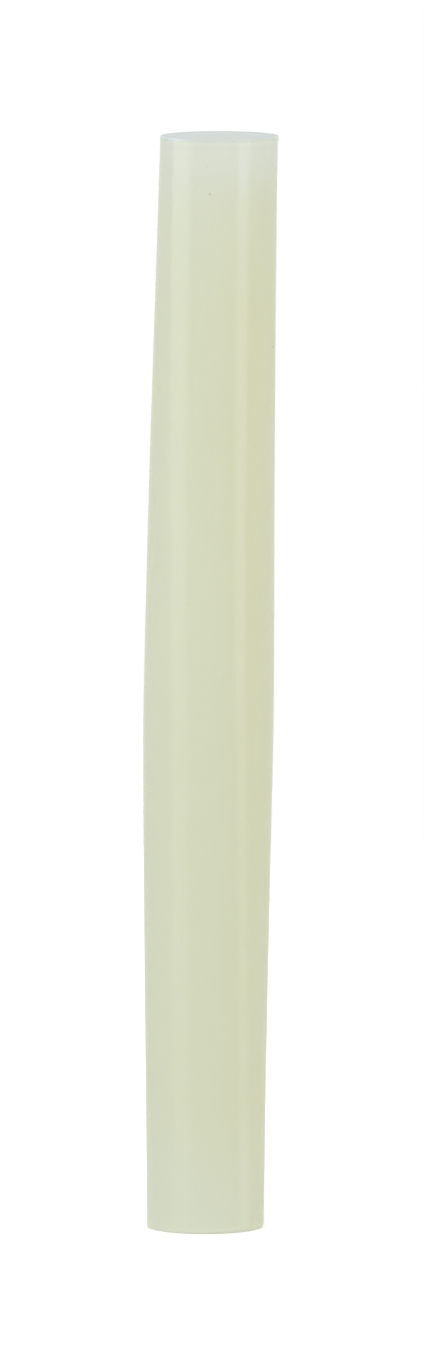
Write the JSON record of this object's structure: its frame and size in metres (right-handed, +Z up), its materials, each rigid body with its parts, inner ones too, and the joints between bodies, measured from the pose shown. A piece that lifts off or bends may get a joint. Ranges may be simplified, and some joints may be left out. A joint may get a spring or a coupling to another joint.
{
  "type": "hot-melt glue stick",
  "caption": "Solid rod of milky hot-melt adhesive for a glue gun, with square-cut ends, a slight belly at mid length and a slight bend.",
  "frame": {"origin": "centre of the lower end face, on which the stick stands", "axes": "+Z up along the stick from the lower end to the upper end; +X is the way the upper end leans, to the right in the picture; -Y faces the viewer"},
  "size_m": [0.0123, 0.0118, 0.1],
  "materials": {
    "hot_melt_adhesive": "satin"
  },
  "bodies": {
    "root": {"glue_stick": "hot_melt_adhesive"}
  },
  "joints": []
}
